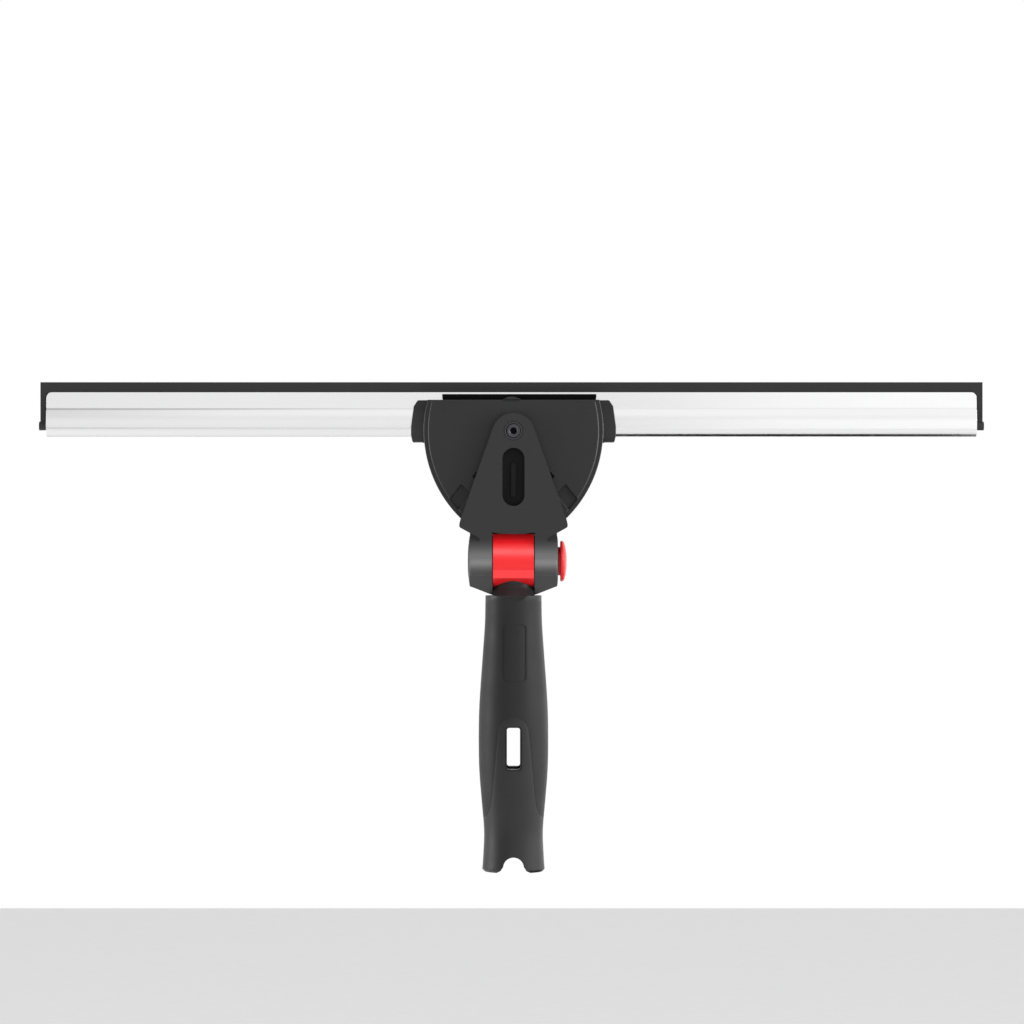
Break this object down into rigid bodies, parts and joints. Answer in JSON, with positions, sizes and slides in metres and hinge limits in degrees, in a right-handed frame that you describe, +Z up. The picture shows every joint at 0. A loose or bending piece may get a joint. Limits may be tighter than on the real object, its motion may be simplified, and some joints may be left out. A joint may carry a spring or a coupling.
{
  "type": "window cleaning squeegee",
  "caption": "Window squeegee with a rubber blade in a steel channel, a sprung rear jaw, a swivelling head, a push-button tilt joint and a soft-grip pole handle.",
  "frame": {"origin": "centre of the handle's open lower end, in the plane of the end's lobes", "axes": "+Z up the handle to the blade, +X along the blade, front faces -Y"},
  "size_m": [0.4511, 0.033, 0.2333],
  "materials": {
    "core": "satin moulded plastic",
    "grip": "soft matt grip",
    "red": "glossy red plastic",
    "black_plastic": "fine textured black plastic",
    "dark_pad": "dull black rubber",
    "blade_rubber": "smooth dark grey rubber",
    "channel_steel": "polished stainless steel",
    "spring_steel": "bright spring steel",
    "dark_screw": "blackened steel",
    "zinc_steel": "zinc plated steel",
    "bronze": "plain turned brass"
  },
  "bodies": {
    "handle": {"handle_core": "core", "soft_grip": "grip", "tilt_hub": "red", "spline_ring": "zinc_steel", "lock_spring": "spring_steel"},
    "fork": {"fork": "black_plastic", "rear_plate": "black_plastic", "rear_screws": "zinc_steel", "tilt_axle": "zinc_steel", "axle_clip": "dark_screw", "cheek_cap": "black_plastic", "thrust_washers": "black_plastic", "swivel_bush": "bronze", "detent_leaf": "spring_steel"},
    "detent_pad": {"detent_pad": "black_plastic"},
    "tilt_lock": {"tilt_button": "red", "lock_barrel": "zinc_steel"},
    "head": {"carrier": "black_plastic", "swivel_screw": "dark_screw", "swivel_washer": "dark_screw", "swivel_insert": "bronze", "clamp_pad": "dark_pad", "channel": "channel_steel", "rubber": "blade_rubber", "end_clips": "black_plastic", "jaw_pin": "zinc_steel", "jaw_springs": "spring_steel"},
    "jaw": {"jaw": "black_plastic", "jaw_grip": "dark_pad"}
  },
  "joints": [
    {"name": "tilt", "type": "hinge", "parent": "handle", "child": "fork", "pos_m": [0, 0, 0.1479], "axis": [1, 0, 0], "range_deg": [-60.01, 60.01]},
    {"name": "tilt_release", "type": "slide", "parent": "fork", "child": "tilt_lock", "axis": [-1, 0, 0], "range_m": [0, 0.003], "stiffness_N_per_m": 1500, "springref_m": -0.002, "deforming": ["lock_spring"]},
    {"name": "swivel", "type": "hinge", "parent": "fork", "child": "head", "pos_m": [0, -0.008, 0.2099], "axis": [0, 1, 0], "range_deg": [-39, 39]},
    {"name": "detent", "type": "slide", "parent": "fork", "child": "detent_pad", "axis": [0, -1, 0], "range_m": [0, 0.0017], "stiffness_N_per_m": 800, "springref_m": -0.002, "deforming": ["detent_leaf"]},
    {"name": "jaw_open", "type": "hinge", "parent": "head", "child": "jaw", "pos_m": [0, 0.0102, 0.2072], "axis": [-1, 0, 0], "range_deg": [0, 6], "stiffness_Nm_per_rad": 0.5, "springref_deg": -11.46, "deforming": ["jaw_springs"]}
  ]
}
